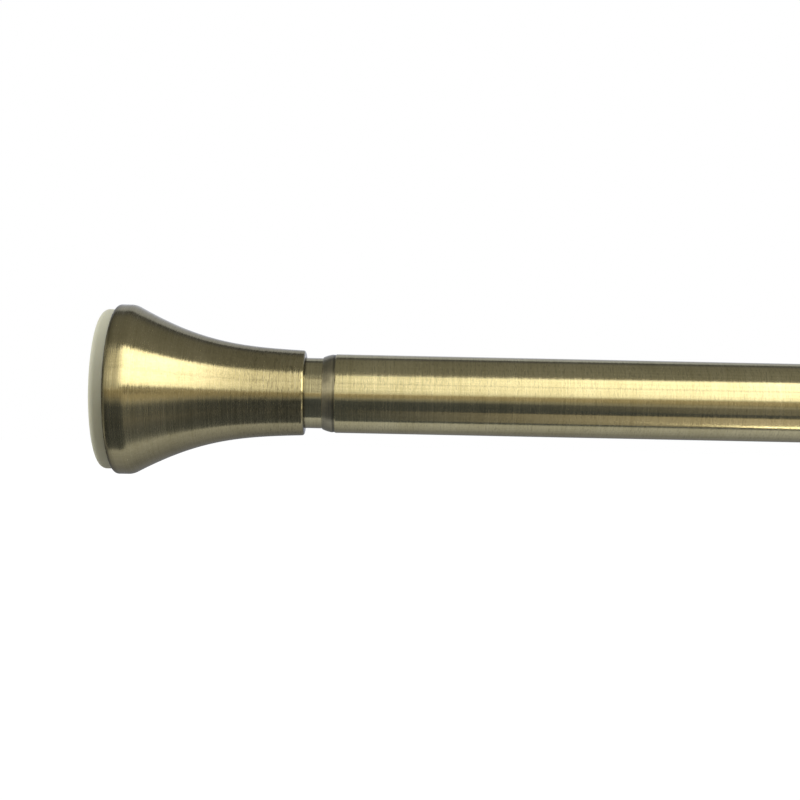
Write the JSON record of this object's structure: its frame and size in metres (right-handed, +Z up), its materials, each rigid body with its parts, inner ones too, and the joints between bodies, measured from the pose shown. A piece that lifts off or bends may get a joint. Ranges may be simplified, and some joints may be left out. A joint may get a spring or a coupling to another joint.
{
  "type": "shower curtain rod",
  "caption": "Telescoping tension rod for a shower curtain, with flared brass caps, rubber feet, a cam lock, a screw jack and a sprung foot.",
  "frame": {"origin": "centre of the right foot's wall face, on the rod's axis", "axes": "+X along the rod out through the right foot, +Z up"},
  "size_m": [1.067, 0.06, 0.06],
  "materials": {
    "cap_brass": "brushed antique brass plating",
    "tube_brass": "brushed antique brass plating",
    "inner_tube_brass": "brushed antique brass plating",
    "collar_bronze": "plated plastic, satin bronze",
    "pad_rubber": "soft cream rubber",
    "carrier_plastic": "moulded natural plastic",
    "nylon_black": "moulded black nylon",
    "nylon_natural": "moulded natural nylon",
    "zinc_steel": "zinc plated",
    "spring_steel": "oiled spring steel",
    "nut_brass": "machined"
  },
  "bodies": {
    "outer": {"outer_tube": "tube_brass", "mouth_collar": "collar_bronze", "right_cap": "cap_brass", "right_pad": "pad_rubber", "right_pad_carrier": "carrier_plastic", "right_tube_plug": "nylon_black", "foot_screw": "zinc_steel", "screw_washer": "zinc_steel"},
    "lock_spindle": {"spindle": "zinc_steel", "travel_stop": "zinc_steel", "stop_pin": "spring_steel", "cam_core": "nylon_black", "cam_washer": "zinc_steel", "cam_screw": "zinc_steel"},
    "lock_ring": {"cam_ring": "nylon_natural"},
    "thrust": {"spring_cup": "zinc_steel", "foot_spring": "spring_steel"},
    "inner": {"inner_tube": "inner_tube_brass", "left_tube_plug": "nylon_black", "stop_ring": "nylon_natural", "end_bush": "nylon_black", "drive_nut": "nut_brass", "nut_cover": "nylon_black"},
    "foot": {"left_cap": "cap_brass", "left_pad": "pad_rubber", "left_pad_carrier": "carrier_plastic", "foot_stem": "zinc_steel", "stem_washer": "zinc_steel", "stem_nut": "zinc_steel"}
  },
  "joints": [
    {"name": "telescope", "type": "slide", "parent": "outer", "child": "lock_spindle", "axis": [-1, 0, 0], "range_m": [0, 0.722]},
    {"name": "cam_turn", "type": "hinge", "parent": "lock_spindle", "child": "lock_ring", "pos_m": [-0.0623, 0, 0.0012], "axis": [1, 0, 0], "range_deg": [-21, 21]},
    {"name": "feed", "type": "slide", "parent": "lock_spindle", "child": "thrust", "axis": [-1, 0, 0], "range_m": [0, 0.04]},
    {"name": "twist", "type": "hinge", "parent": "thrust", "child": "inner", "pos_m": [-1.037, 0, 0], "axis": [-1, 0, 0], "range_deg": [0, 4800]},
    {"name": "foot_give", "type": "slide", "parent": "thrust", "child": "foot", "axis": [1, 0, 0], "range_m": [0, 0.0055], "stiffness_N_per_m": 6300, "springref_m": -0.004, "deforming": ["foot_spring"]}
  ],
  "couplings": [
    {"joint": "feed", "follows": "twist", "m_per_rad": 0.00047746}
  ]
}
